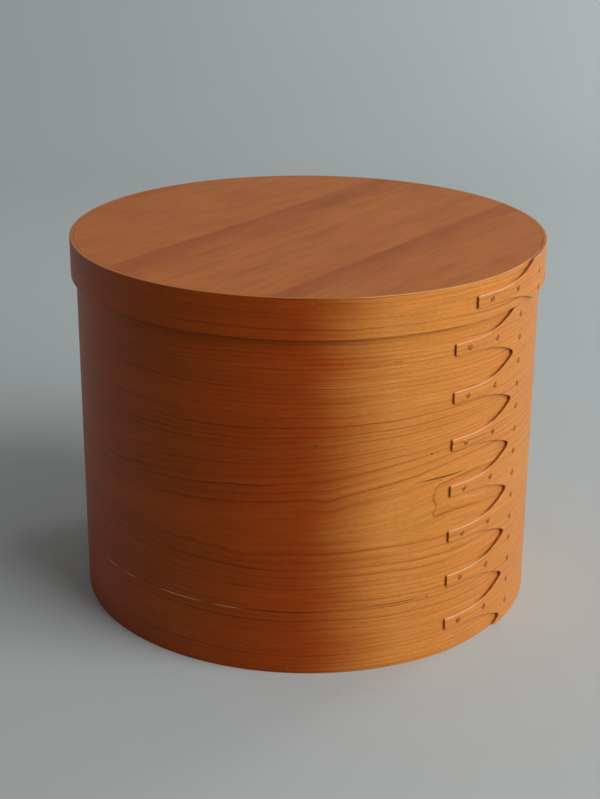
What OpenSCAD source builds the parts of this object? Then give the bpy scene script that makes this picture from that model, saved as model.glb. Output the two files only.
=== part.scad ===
// Round bentwood pantry box with a lift-off lid.
// Each side is one thin strip bent into a ring. Its square-cut end is sawn into tapering fingers
// that lap over the feathered other end and are held by clinched copper tacks.
// Millimetres. +Z is up, the origin is the centre of the underside, and the laps are at the front right.

/* [Box] */
// Inside diameter of the box
inner_d = 279; // [220:1:340]
// Height of the box's band
body_h = 222.5; // [180:0.5:280]
// Thickness of both bent bands
band_t = 2.4; // [1.8:0.1:3.2]
// Thickness of the base board
base_t = 6; // [4:0.5:9]

/* [Lid] */
// Height of the lid's band
lid_h = 23.8; // [18:0.2:32]
// Thickness of the lid board
lid_t = 6; // [4:0.5:8]
// Play between the lid's clinched tacks and the box
lid_play = 0.3; // [0.2:0.05:0.8]

/* [Boards] */
// Width of the middle plank of each board
plank_w = 106; // [70:1:130]
// Direction of the planks' grain, counter-clockwise from +X
grain_angle = 54.5; // [0:0.5:180]
// How far the lid's middle plank lies off centre
lid_plank_shift = -12; // [-30:1:30]
// Play between a board's edge and its band
board_play = 0.15; // [0.05:0.05:0.4]

/* [Fingers of the box] */
// Direction of the finger tips, counter-clockwise from +X
tip_angle = -54.8; // [-90:0.1:90]
// Number of fingers
finger_count = 7; // [4:1:9]
// Height of the centre line of the lowest gap
foot_gap_z = 4.8; // [2:0.1:9]
// Width of a finger at its tip
finger_tip_w = 7.2; // [6:0.1:10]
// Length of the straight stretch behind a tip
finger_straight = 14; // [8:0.5:24]
// Length from the tips to where the arched gaps would come to a point
finger_len = 56; // [46:0.5:70]
// Radius of the round end of a gap
gap_end_r = 2; // [1:0.1:3]
// Radius of a tip's corners
tip_corner_r = 1.2; // [0.4:0.1:2]

/* [Finger of the lid] */
// How far the lid's tip lies past the box's tips, along the band
lid_tip_step = 12; // [0:0.5:20]
// Width of the lid's finger at its tip
lid_finger_tip_w = 7.3; // [6:0.1:9]
// Length of the straight stretch behind the lid's tip
lid_finger_straight = 20; // [10:0.5:26]
// Length from the lid's tip to where its arched gaps would come to a point
lid_finger_len = 66; // [56:0.5:76]

/* [Laps] */
// Play between the two layers of a lap
lap_play = 0.1; // [0.05:0.05:0.2]
// Height of the step where a strip's circle and its rising arc meet
arc_step = 0.03; // [0.02:0.01:0.06]
// From the point of the gaps to the column of seam tacks
seam_step = 6; // [4:0.5:10]
// From the seam tacks to the feathered end of the strip
feather_step = 13; // [8:0.5:18]
// From the feathered end to where the strip leaves the circle
ramp_step = 45; // [36:1:60]
// How far the lap may stand proud where it is pared under the lid
pare_h = 0.15; // [0.1:0.05:0.4]
// How far the paring reaches below the lid's edge
pare_drop = 0.6; // [0.2:0.1:1]

/* [Tacks] */
// Diameter of a tack's head
head_d = 3.8; // [3:0.1:5]
// Height of the domed head
head_h = 0.7; // [0.4:0.1:1]
// Diameter of the shank
shank_d = 1.5; // [1:0.1:2]
// Diameter of the clinched end
clinch_d = 2.4; // [2:0.1:3]
// Thickness of the clinched end
clinch_h = 0.3; // [0.2:0.05:0.5]
// Play round a shank and under a clinched end
tack_play = 0.05; // [0.02:0.01:0.1]
// From a finger's tip to its first tack
tip_tack = 10.5; // [7:0.5:14]
// From a finger's tip to its second tack
root_tack = 34.3; // [26:0.1:40]
// From the lid's tip to its first tack
lid_tip_tack = 11.5; // [7:0.5:14]
// From the lid's tip to its second tack
lid_root_tack = 37.8; // [28:0.1:44]
// Height between the lid's two seam tacks
lid_seam_pitch = 10; // [6:0.5:11]

/* [Pegs] */
// Number of wooden pegs in each board
peg_count = 10; // [6:1:14]
// Diameter of a peg
peg_d = 1.8; // [1.2:0.1:2.6]
// Length of a peg
peg_len = 14; // [10:0.5:18]
// Play round a peg
peg_play = 0.03; // [0.01:0.01:0.08]
// From a lap to the nearest peg, along the band
peg_margin = 15; // [10:1:20]

/* [Hidden] */

$fn = 240;
small_fn = 32;
arc_steps = 16;
end_steps = 6;
over = 1;
cherry = [0.60, 0.32, 0.16];
cherry_board = [0.62, 0.36, 0.21];
peg_wood = [0.52, 0.27, 0.14];
copper = [0.72, 0.42, 0.26];

body_in = inner_d / 2;
body_out = body_in + band_t;
lid_in = body_out + pare_h + tack_play + clinch_h + lid_play;
lid_out = lid_in + band_t;
top_z = body_h + lid_t;
lid_z = top_z - lid_h;
skirt_mid_z = (lid_z + body_h) / 2;
lid_finger_z = (lid_z + top_z) / 2;

finger_pitch = (lid_z - foot_gap_z) / finger_count;
finger_z = [for (k = [0:finger_count - 1]) foot_gap_z + (k + 0.5) * finger_pitch];
gap_z = [for (k = [0:finger_count]) foot_gap_z + k * finger_pitch];
seam_z = [for (z = finger_z, side = [-1, 1]) z + side * finger_pitch / 4];

// A lap is described by the strip's inner radius, its tip angle, the angle where the strip leaves
// the circle, the angle of the feathered end, the shift of the rising arc's centre and the places
// of the seam tacks along the lap.
function degrees(length, r) = length / r * 180 / PI;
function arc_shift(r, rise, span) = ((r + rise) ^ 2 - r ^ 2) / (2 * (r - (r + rise) * cos(span)));
function lap(r, tip, len) =
    let (seam = len + seam_step, feather = seam + feather_step, ramp = feather + ramp_step)
    [r, tip, tip + degrees(ramp, r), tip + degrees(feather, r),
        arc_shift(r - arc_step, band_t + lap_play + arc_step, degrees(ramp, r)), seam];
function lap_r(l) = l[0];
function lap_tip(l) = l[1];
function lap_start(l) = l[2];
function lap_feather(l) = l[3];
function lap_shift(l) = l[4];
function lap_seam(l) = l[5];
function lap_inner(l) = lap_r(l) - arc_step;
function lap_outer(l) = lap_r(l) + band_t + arc_step;
function lap_centre(l) = -lap_shift(l) * [cos(lap_start(l)), sin(lap_start(l))];

// How far the full thickness runs on under the tips, using up half of the play between the layers
function lap_tuck(l) = degrees(lap_play / 2, lap_shift(l) * sin(lap_start(l) - lap_tip(l)));

body_lap = lap(body_in, tip_angle, finger_len);
lid_lap = lap(lid_in, tip_angle + degrees(lid_tip_step, body_out), lid_finger_len);

// Distance from the axis to the rising arc of radius r + shift in one direction
function rise_r(l, r, angle) =
    let (a = angle - lap_start(l), d = lap_shift(l)) sqrt((r + d) ^ 2 - (d * sin(a)) ^ 2) - d * cos(a);

// Direction of the same place seen from the rising arc's own centre
function turned(l, r, angle) =
    let (p = rise_r(l, r, angle) * [cos(angle), sin(angle)] - lap_centre(l)) atan2(p[1], p[0]);

// Direction of a place on the lap, from its distance to the tips
function lap_angle(l, s) = lap_tip(l) + degrees(s, lap_r(l) + band_t);

// Thickness of both layers where a tack goes through, along the tack
function grip(l, angle) =
    let (a = turned(l, lap_outer(l), angle) - lap_start(l), d = lap_shift(l))
    lap_outer(l) + d - d * cos(a) - sqrt(lap_r(l) ^ 2 - (d * sin(a)) ^ 2);

// Points of an arc from angle a0 to a1
function arc(centre, r, a0, a1, steps) =
    [for (i = [0:steps]) let (a = a0 + (a1 - a0) * i / steps) centre + r * [cos(a), sin(a)]];

// Where a length along the band lies on the flat face of a cutter that is square to the lap's middle
function flat_x(x, len, r) = r * sin(degrees(x - len / 2, r));

// Upper edge of the gap between two fingers: tip corner, straight stretch, arch and round end
function gap_edge(half_w, straight, len) =
    let (
        rho = ((len - straight) ^ 2 + half_w ^ 2) / (2 * half_w),
        low = half_w - rho,
        end_x = straight + sqrt((rho - gap_end_r) ^ 2 - low ^ 2),
        touch = atan2(-low, end_x - straight),
        c = tip_corner_r
    )
    concat(
        [[-over, half_w + c]],
        arc([c, half_w + c], c, 180, 270, end_steps),
        arc([straight, low], rho, 90, touch, arc_steps),
        arc([end_x, 0], gap_end_r, touch, 0, end_steps)
    );
function gap_end(half_w, straight, len) =
    let (rho = ((len - straight) ^ 2 + half_w ^ 2) / (2 * half_w))
    straight + sqrt((rho - gap_end_r) ^ 2 - (half_w - rho) ^ 2) + gap_end_r;
function mirrored(edge) = [for (i = [len(edge) - 2:-1:0]) [edge[i][0], -edge[i][1]]];

// Solid pie slice between two directions less than 120 degrees apart
module slice(a0, a1, z, h) {
    reach = 2 * (lid_out + band_t) / cos((a1 - a0) / 2);
    middle = (a0 + a1) / 2;
    translate([0, 0, z])
        linear_extrude(height = h)
            polygon([
                [0, 0],
                reach * [cos(a0), sin(a0)],
                reach * [cos(middle), sin(middle)],
                reach * [cos(a1), sin(a1)]
            ]);
}

module disc(r, z, h) {
    translate([0, 0, z]) cylinder(r = r, h = h);
}

module ring(r0, r1, z, h) {
    difference() {
        disc(r1, z, h);
        disc(r0, z - over, h + 2 * over);
    }
}

// Disc about the rising arc's centre
module rise_disc(l, r, z, h) {
    c = lap_centre(l);
    translate([c[0], c[1], 0])
        rotate([0, 0, lap_start(l)])
            disc(r + lap_shift(l), z, h);
}

// Prism through the outer layer of a lap, drawn as length along the band against height
module lap_cutter(l, len, outline) {
    r = lap_r(l) + band_t;
    middle = lap_tip(l) + degrees(len / 2, r);
    rotate([0, 0, middle])
        translate([lap_r(l) / 2, 0, 0])
            rotate([90, 0, 90])
                linear_extrude(height = lap_r(l))
                    polygon([for (p = outline) [flat_x(p[0], len, r), p[1]]]);
}

// The gap between two neighbouring fingers
module finger_gap(l, z, half_w, straight, len) {
    edge = gap_edge(half_w, straight, len);
    lap_cutter(l, len, [for (p = concat(edge, mirrored(edge))) p + [0, z]]);
}

// One strip bent into a ring: its circle, ending in a feathered end, and the lap's outer layer on the
// rising arc, from which the children are cut. Rims and bore are cut last, so that both share them.
module bent_strip(l, z, h) {
    r = lap_r(l);
    spare = degrees(over, r);
    low = z - over;
    tall = h + 2 * over;
    difference() {
        intersection() {
            union() {
                difference() {
                    ring(r - over, r + band_t, low, tall);
                    slice(lap_feather(l), lap_start(l), low - over, tall + 2 * over);
                    difference() {
                        slice(lap_tip(l) + lap_tuck(l), lap_feather(l) + spare, low - over, tall + 2 * over);
                        rise_disc(l, lap_inner(l) - lap_play, low - 2 * over, tall + 4 * over);
                    }
                }
                difference() {
                    intersection() {
                        rise_disc(l, lap_outer(l), low, tall);
                        slice(lap_tip(l), lap_start(l) + spare, low - over, tall + 2 * over);
                    }
                    rise_disc(l, lap_inner(l), low - over, tall + 2 * over);
                    children();
                }
            }
            disc(r + 2 * band_t + over, z, h);
        }
        disc(r, low - over, tall + 2 * over);
    }
}

// Places a tack's frame, with its axis pointing out and its zero on the outer face of the lap
module at_lap(l, s, z) {
    r = lap_outer(l);
    c = lap_centre(l);
    translate([c[0], c[1], z])
        rotate([0, 0, turned(l, r, lap_angle(l, s))])
            translate([r + lap_shift(l), 0, 0])
                rotate([0, 90, 0])
                    children();
}

module tack(l, s, z) {
    depth = grip(l, lap_angle(l, s)) + tack_play;
    dome_r = ((head_d / 2) ^ 2 + head_h ^ 2) / (2 * head_h);
    at_lap(l, s, z) {
        intersection() {
            translate([0, 0, head_h - dome_r]) sphere(r = dome_r, $fn = 4 * small_fn);
            cylinder(d = head_d + over, h = head_h, $fn = small_fn);
        }
        translate([0, 0, -depth - clinch_h / 2])
            cylinder(d = shank_d, h = depth + head_h / 2 + clinch_h / 2, $fn = small_fn);
        translate([0, 0, -depth - clinch_h])
            cylinder(d = clinch_d, h = clinch_h, $fn = small_fn);
    }
}

module tack_hole(l, s, z) {
    depth = grip(l, lap_angle(l, s)) + over;
    at_lap(l, s, z)
        translate([0, 0, -depth])
            cylinder(d = shank_d + 2 * tack_play, h = depth + over, $fn = small_fn);
}

// Directions of the pegs, spread over the single thickness of a band
function peg_angles(l) =
    let (
        margin = degrees(peg_margin, lap_r(l)),
        span = 360 - (lap_start(l) - lap_tip(l)) - 2 * margin
    )
    [for (i = [0:peg_count - 1]) lap_start(l) + margin + span * i / (peg_count - 1)];

// Pegs driven in from the band's outer face, or their holes where the ends run on by extra
module pegs(l, z, d = peg_d, extra = 0) {
    r = lap_r(l) + band_t;
    for (a = peg_angles(l))
        rotate([0, 0, a])
            translate([r - peg_len - extra, 0, z])
                rotate([0, 90, 0])
                    cylinder(d = d, h = peg_len + 2 * extra, $fn = small_fn);
}

module peg_holes(l, z) {
    pegs(l, z, peg_d + 2 * peg_play, over);
}

// One plank of a round board, between two glue lines across the grain
module plank(l, z, t, y0, y1) {
    r = lap_r(l) - board_play;
    difference() {
        intersection() {
            disc(r, z, t);
            rotate([0, 0, grain_angle])
                translate([-r - over, y0, z - over])
                    cube([2 * (r + over), y1 - y0, t + 2 * over]);
        }
        peg_holes(l, z + t / 2);
    }
}

base_left_y = plank_w / 2;
base_right_y = -plank_w / 2;
lid_left_y = lid_plank_shift + plank_w / 2;
lid_right_y = lid_plank_shift - plank_w / 2;
edge_y = lid_out;
base_peg_z = base_t / 2;
lid_peg_z = body_h + lid_t / 2;

module body_band() {
    half_w = (finger_pitch - finger_tip_w) / 2;
    end_x = gap_end(half_w, finger_straight, finger_len);
    top_gap = gap_z[finger_count];
    color(cherry)
        difference() {
            bent_strip(body_lap, 0, body_h) {
                for (z = gap_z)
                    finger_gap(body_lap, z, half_w, finger_straight, finger_len);
                lap_cutter(body_lap, finger_len, [
                    [-over, top_gap],
                    [end_x, top_gap],
                    [end_x, body_h + 2 * over],
                    [-over, body_h + 2 * over]
                ]);
                ring(body_out + pare_h, lid_out + over, lid_z - pare_drop, lid_h);
            }
            for (z = finger_z, s = [tip_tack, root_tack])
                tack_hole(body_lap, s, z);
            for (z = seam_z)
                tack_hole(body_lap, lap_seam(body_lap), z);
            peg_holes(body_lap, base_peg_z);
        }
}

module base_plank_left() {
    color(cherry_board) plank(body_lap, 0, base_t, base_left_y, edge_y);
}

module base_plank_middle() {
    color(cherry_board) plank(body_lap, 0, base_t, base_right_y, base_left_y);
}

module base_plank_right() {
    color(cherry_board) plank(body_lap, 0, base_t, -edge_y, base_right_y);
}

module base_pegs() {
    color(peg_wood) pegs(body_lap, base_peg_z);
}

module finger_tip_tacks() {
    color(copper)
        for (z = finger_z)
            tack(body_lap, tip_tack, z);
}

module finger_root_tacks() {
    color(copper)
        for (z = finger_z)
            tack(body_lap, root_tack, z);
}

module body_seam_tacks() {
    color(copper)
        for (z = seam_z)
            tack(body_lap, lap_seam(body_lap), z);
}

module lid_band() {
    half_w = (finger_pitch - lid_finger_tip_w) / 2;
    color(cherry)
        difference() {
            bent_strip(lid_lap, lid_z, lid_h) {
                for (side = [-1, 1])
                    finger_gap(lid_lap, lid_finger_z + side * finger_pitch / 2, half_w,
                        lid_finger_straight, lid_finger_len);
            }
            for (s = [lid_tip_tack, lid_root_tack])
                tack_hole(lid_lap, s, lid_finger_z);
            for (side = [-1, 1])
                tack_hole(lid_lap, lap_seam(lid_lap), skirt_mid_z + side * lid_seam_pitch / 2);
            peg_holes(lid_lap, lid_peg_z);
        }
}

module lid_plank_left() {
    color(cherry_board) plank(lid_lap, body_h, lid_t, lid_left_y, edge_y);
}

module lid_plank_middle() {
    color(cherry_board) plank(lid_lap, body_h, lid_t, lid_right_y, lid_left_y);
}

module lid_plank_right() {
    color(cherry_board) plank(lid_lap, body_h, lid_t, -edge_y, lid_right_y);
}

module lid_pegs() {
    color(peg_wood) pegs(lid_lap, lid_peg_z);
}

module lid_finger_tacks() {
    color(copper)
        for (s = [lid_tip_tack, lid_root_tack])
            tack(lid_lap, s, lid_finger_z);
}

module lid_seam_tacks() {
    color(copper)
        for (side = [-1, 1])
            tack(lid_lap, lap_seam(lid_lap), skirt_mid_z + side * lid_seam_pitch / 2);
}

body_band();
base_plank_left();
base_plank_middle();
base_plank_right();
base_pegs();
finger_tip_tacks();
finger_root_tacks();
body_seam_tacks();
lid_band();
lid_plank_left();
lid_plank_middle();
lid_plank_right();
lid_pegs();
lid_finger_tacks();
lid_seam_tacks();
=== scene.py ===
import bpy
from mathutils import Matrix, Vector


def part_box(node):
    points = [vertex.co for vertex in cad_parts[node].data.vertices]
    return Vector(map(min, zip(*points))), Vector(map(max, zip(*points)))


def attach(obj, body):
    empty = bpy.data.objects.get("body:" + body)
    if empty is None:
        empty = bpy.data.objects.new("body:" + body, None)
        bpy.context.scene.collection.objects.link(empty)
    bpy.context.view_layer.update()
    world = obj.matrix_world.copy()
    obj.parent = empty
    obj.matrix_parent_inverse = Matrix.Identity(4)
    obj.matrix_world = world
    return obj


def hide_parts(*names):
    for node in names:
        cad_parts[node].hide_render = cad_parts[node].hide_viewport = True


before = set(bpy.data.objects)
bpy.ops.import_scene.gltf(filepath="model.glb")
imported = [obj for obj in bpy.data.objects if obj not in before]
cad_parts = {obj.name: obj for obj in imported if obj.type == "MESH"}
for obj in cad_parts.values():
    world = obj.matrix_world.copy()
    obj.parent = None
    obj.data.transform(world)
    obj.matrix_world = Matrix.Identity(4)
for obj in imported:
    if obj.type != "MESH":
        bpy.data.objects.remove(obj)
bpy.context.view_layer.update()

import math
from collections import namedtuple
from functools import partial

import bmesh
import bpy
import numpy as np
from bpy.props import FloatProperty, FloatVectorProperty, IntProperty, PointerProperty
from mathutils import Matrix

bl_info = {
    "name": "Bentwood pantry box",
    "version": (1, 0, 0),
    "blender": (4, 5, 0),
    "location": "View3D > Sidebar > Pantry box",
    "description": "Bent strips with lapped fingers, plank boards, copper tacks and wooden pegs",
    "category": "Object",
}

BODY_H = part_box("body_band")[1].z
LID_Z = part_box("lid_band")[0].z
TOP_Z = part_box("lid_band")[1].z
BASE_PEG_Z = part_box("base_plank_middle")[1].z / 2
LID_PEG_Z = (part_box("lid_plank_middle")[0].z + TOP_Z) / 2
TURN = 2 * math.pi
MM = 1000.0  # millimetres in a metre


def linear(colour):
    """Linear red, green, blue and alpha of an sRGB hex colour"""
    parts = [int(colour[i:i + 2], 16) / 255 for i in (1, 3, 5)]
    return [c / 12.92 if c <= 0.04045 else ((c + 0.055) / 1.055) ** 2.4 for c in parts] + [1.0]


def length(name, description, default):
    return FloatProperty(name=name, description=description, default=default, min=0, precision=5, unit="LENGTH")


def angle(name, description, degrees):
    return FloatProperty(name=name, description=description, default=math.radians(degrees), subtype="ANGLE")


def amount(name, description, default, unit="NONE"):
    return FloatProperty(name=name, description=description, default=default, min=0, unit=unit)


def count(name, description, default, least=0):
    return IntProperty(name=name, description=description, default=default, min=least)


def colour(name, description, default):
    return FloatVectorProperty(name=name, description=description, default=linear(default),
                               size=4, min=0, max=1, subtype="COLOR")


class BandSizes(bpy.types.PropertyGroup):
    """The two bent strips and their laps"""
    inner_radius: length("Inside radius", "Inside radius of the box", 0.1395)
    lid_inner_radius: length("Inside radius of lid", "Inside radius of the lid's strip", 0.1427)
    thickness: length("Thickness", "Thickness of both strips", 0.0024)
    arris: length("Arris", "Radius that the outer edges are eased to by sanding", 0.0005)
    tip_thin: length("Tip thinning", "How much thinner a finger is planed at its tip", 0.001)
    tip_angle: angle("Tip direction", "Direction of the finger tips from +X", -54.8)
    finger_count: count("Fingers", "Number of fingers on the box", 7, 2)
    foot_gap: length("Foot gap", "Height of the centre line of the lowest gap", 0.0048)
    tip_width: length("Tip width", "Width of a finger at its tip", 0.0072)
    straight: length("Straight", "Length of the straight stretch behind a tip", 0.014)
    finger_length: length("Finger length", "From the tips to where the gaps would come to a point", 0.056)
    gap_end: length("Gap end", "Radius of the round end of a gap", 0.002)
    tip_corner: length("Tip corner", "Radius of a tip's corners", 0.0012)
    lid_tip_step: length("Lid tip step", "How far the lid's tip lies past the box's tips", 0.012)
    lid_tip_width: length("Lid tip width", "Width of the lid's finger at its tip", 0.0073)
    lid_straight: length("Lid straight", "Straight stretch behind the lid's tip", 0.02)
    lid_finger_length: length("Lid finger length", "From the lid's tip to the point of its gaps", 0.066)
    lap_play: length("Lap play", "Play between the two layers of a lap", 0.0001)
    arc_step: length("Arc step", "Step where the circle and the rising arc meet", 0.00003)
    seam_step: length("Seam step", "From the point of the gaps to the seam tacks", 0.006)
    feather_step: length("Feather step", "From the seam tacks to the feathered end", 0.013)
    ramp_step: length("Ramp step", "From the feathered end to where the strip leaves the circle", 0.045)
    pare: length("Pared lap", "How far the lap stands proud under the lid", 0.00015)


class TackSizes(bpy.types.PropertyGroup):
    """The copper tacks"""
    head: length("Head", "Diameter of a head", 0.0038)
    crown: length("Crown", "Height of a head", 0.0004)
    shank: length("Shank", "Diameter of a shank", 0.0015)
    clinch: length("Clinch", "Length of the clinched end", 0.0024)
    clinch_thick: length("Clinch thickness", "Thickness of the clinched end", 0.0003)
    dent: length("Dent", "Depth of the hammer's marks", 0.00009)
    at_tip: length("At tip", "From a finger's tip to its first tack", 0.0105)
    at_root: length("At root", "From a finger's tip to its second tack", 0.0343)
    lid_at_tip: length("Lid at tip", "From the lid's tip to its first tack", 0.0115)
    lid_at_root: length("Lid at root", "From the lid's tip to its second tack", 0.0378)
    lid_seam_pitch: length("Lid seam pitch", "Height between the lid's seam tacks", 0.01)
    seed: count("Seed", "Seed of how each tack was struck", 4)


class PegSizes(bpy.types.PropertyGroup):
    """The wooden pegs that hold the boards"""
    count: count("Pegs", "Number of pegs in each board", 10, 2)
    diameter: length("Diameter", "Diameter of a peg", 0.0018)
    length: length("Length", "Length of a peg", 0.014)
    margin: length("Margin", "From a lap to the nearest peg", 0.015)
    proud: length("Proud", "How far an end stands proud of the strip", 0.00004)
    seed: count("Seed", "Seed of how each peg is turned", 7)


class FinishLook(bpy.types.PropertyGroup):
    """Colours of the wood and metal"""
    strip: colour("Strip", "Oiled cherry in the red middle of the bent strips", "#9F3B0D")
    # painted sheen: gold laid into the colour on the side of the strips that faces the key light
    strip_sheen: colour("Strip, golden", "Golden wood towards both ends of a strip", "#D0833D")
    strip_deep: colour("Strip, deep", "Redder streaks in the strips", "#913509")
    strip_line: colour("Strip, lines", "Tint that the late wood of a growth ring lays over the strip", "#C67C00")
    # also laid as painted shade on edges that face sideways and down, and in the notches at the gaps' ends
    end_grain: colour("End grain", "Cut ends of the strips, and edges that hold oil", "#661C06")
    gum: colour("Gum", "Gum spots and hairline splits", "#3A1A0C")
    # painted highlight: laid on up-facing eased edges and on the pale pieces of a split
    pale_highlight: colour("Bare wood", "Rubbed edges, and the wood along a split", "#E4B486")
    gloss: colour("Gloss", "Tint of the oiled wood's gloss", "#FFD870")
    board: colour("Board", "Oiled cherry of the boards", "#C06E34")
    # darker tone along each glue line, fading across the plank
    board_deep: colour("Board, deep", "Heartwood along the glue lines", "#AC5A2C")
    board_line: colour("Board, lines", "Late wood in the boards", "#96501E")
    peg: colour("Peg", "Oil-darkened pores of the pegs", "#7E3A10")
    copper: colour("Copper", "Dulled copper of the tacks", "#CC8446")
    tarnish: colour("Tarnish", "Brown film in the hammer marks", "#74401C")


class StageLook(bpy.types.PropertyGroup):
    """Floor, light and camera"""
    paper: colour("Paper", "Seamless paper under and behind the box", "#BCC3C4")
    sky: colour("Fill", "Colour of the fill light from all round", "#EEEDE6")
    fill: amount("Fill level", "Strength of the fill light", 0.16)
    room: amount("Room level", "How bright the plain room beyond the paper looks", 0.25)
    key: amount("Key power", "Power of the window-like key light", 65, "POWER")
    key_turn: angle("Key direction", "Direction of the key light, right of the front", 58)
    key_rise: angle("Key height", "Height angle of the key light", 30)
    key_distance: length("Key distance", "From the box to the key light", 2.5)
    back: amount("Backdrop power", "Power of the lamp on the backdrop", 7.5, "POWER")
    rear: amount("Rear power", "Power of the weak lamp behind the box", 2, "POWER")
    lens: amount("Lens", "Focal length on a 36 mm sensor", 72.1, "CAMERA")
    eye_distance: length("Eye distance", "From the axis of the box to the camera, level", 0.954)
    eye_height: length("Eye height", "Height of the camera", 0.4789)
    pitch: angle("Pitch", "How far the camera looks down", 20.811)
    pan: angle("Pan", "How far the camera is turned to the right", -0.256)
    roll: angle("Roll", "How far the camera leans", 0.35)


# Laps: a strip leaves its circle on a slightly larger arc and lies over its own feathered end.
# Angles along a strip are not wrapped. They fall from the feathered end, all round, to the tips.

Lap = namedtuple("Lap", "inner tip start feather shift seam")

PLANED_REACH = 1.5          # how far a finger is planed thinner, in lengths from its tip to the seam
NOTCH = (0.45, 0.66)        # where an edge turns from painted highlight to painted shade, in lengths of a finger
INNER_EASE = 0.2            # how far the inner edges are eased, against the outer ones
EASE_TURNS = (0, 30, 60, 90)
MOST_EASE = 0.6             # most of a strip's thickness that an eased edge takes
LEAST_EASE = 0.02           # what is left of the easing at a feathered end
CORNER_STEPS, PLAIN_STEPS, ARCH_STEPS, TAIL_STEPS = 8, 7, 28, 10
FEATHER_STEPS, RING_STEPS, BOX_LAP_STEPS, LID_LAP_STEPS = 26, 190, 34, 28
ROWS = np.linspace(-1, 1, 5)
LEAST_SLIVER = 0.0005       # height at which the sliver below the lowest gap ends
SLIVER_END = 0.05           # share of the thickness that is left there
MERGE, SPECK = 2e-6, 1e-7   # points closer than this are one, and faces smaller than this go
SHARP, FASTENER_SHARP = math.radians(40), math.radians(50)


def make_lap(b, inner, tip, reach):
    seam = reach + b.seam_step
    feather = seam + b.feather_step
    span = (feather + b.ramp_step) / inner
    r = inner - b.arc_step
    top = inner + b.thickness + b.lap_play
    shift = (top ** 2 - r ** 2) / (2 * (r - top * math.cos(span)))
    return Lap(inner, tip, tip + span, tip + feather / inner, shift, seam)


def body_lap(b):
    return make_lap(b, b.inner_radius, b.tip_angle, b.finger_length)


def lid_lap(b):
    tip = b.tip_angle + b.lid_tip_step / (b.inner_radius + b.thickness)
    return make_lap(b, b.lid_inner_radius, tip, b.lid_finger_length)


def finger_pitch(b):
    return (LID_Z - b.foot_gap) / b.finger_count


def rising(lap, r, angle):
    """Distance from the axis to the rising arc of radius r + shift in one direction"""
    a = angle - lap.start
    return np.sqrt((r + lap.shift) ** 2 - (lap.shift * np.sin(a)) ** 2) - lap.shift * np.cos(a)


def thinned(b, lap, s):
    """How much has been planed off the lap's outer face at a length from the tips"""
    return b.tip_thin * np.clip(1 - np.asarray(s, float) / (PLANED_REACH * lap.seam), 0, 1)


def strip_radii(b, lap, angle):
    """Inner and outer radius of a strip at angles along it"""
    angle = np.asarray(angle, float)
    full = lap.inner + b.thickness
    planed = thinned(b, lap, (angle - lap.tip + TURN) * full)
    under = np.minimum(full, rising(lap, lap.inner - b.arc_step - b.lap_play, angle))
    over_in = np.maximum(lap.inner, rising(lap, lap.inner - b.arc_step, angle))
    over_out = rising(lap, full + b.arc_step, angle) - planed
    on_top = angle < lap.start - TURN
    inner = np.where(on_top, over_in, lap.inner)
    outer = np.where(on_top, over_out, np.where(angle > lap.tip, under, full))
    return inner, outer


def lap_angle(b, lap, s):
    """Angle, on the lap's outer layer, of a length from the tips"""
    return lap.tip - TURN + np.asarray(s, float) / (lap.inner + b.thickness)


def notch_mm(b, lap, reach):
    """Where, in millimetres on the strip's map, the fingers' edges turn from painted highlight to painted shade"""
    turn = lap_angle(b, lap, np.array(NOTCH) * reach) + math.pi / 2
    return [float(mm) for mm in turn * (lap.inner + b.thickness) * MM]


def finger_edge(b, half_gap, straight, reach):
    """Edge of a finger from the corner of its tip to the round end of the gap: length from the tip,
    half width of the gap, and the way out of the finger along and across it"""
    rho = ((reach - straight) ** 2 + half_gap ** 2) / (2 * half_gap)
    low = half_gap - rho
    end = straight + math.sqrt((rho - b.gap_end) ** 2 - low ** 2)
    touch = math.atan2(-low, end - straight)
    corner = np.linspace(math.pi, 1.5 * math.pi, CORNER_STEPS)
    plain = np.linspace(b.tip_corner, straight, PLAIN_STEPS)[1:-1]
    arch = np.linspace(math.pi / 2, touch, ARCH_STEPS)
    tail = np.linspace(touch, 0, TAIL_STEPS)[1:]
    c, g = b.tip_corner, b.gap_end
    x = np.concatenate([c + c * np.cos(corner), plain, straight + rho * np.cos(arch), end + g * np.cos(tail)])
    w = np.concatenate([half_gap + c + c * np.sin(corner), np.full_like(plain, half_gap),
                        low + rho * np.sin(arch), g * np.sin(tail)])
    along = np.concatenate([np.cos(corner), np.zeros_like(plain), -np.cos(arch), -np.cos(tail)])
    across = np.concatenate([-np.sin(corner), np.ones_like(plain), np.sin(arch), np.sin(tail)])
    return x, w, along, across


def eased(radius):
    """Rounded edge as steps of distance in from the edge and depth below the face"""
    turns = [math.radians(t) for t in EASE_TURNS]
    return [(radius * (1 - math.sin(t)), radius * (1 - math.cos(t))) for t in turns]


def ease_share(b, lap, angle):
    """1 where a strip is thick enough for its eased edges, falling towards a feathered end"""
    r_in, r_out = strip_radii(b, lap, angle)
    return np.clip(MOST_EASE * (r_out - r_in) / b.arris, LEAST_EASE, 1)


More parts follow.
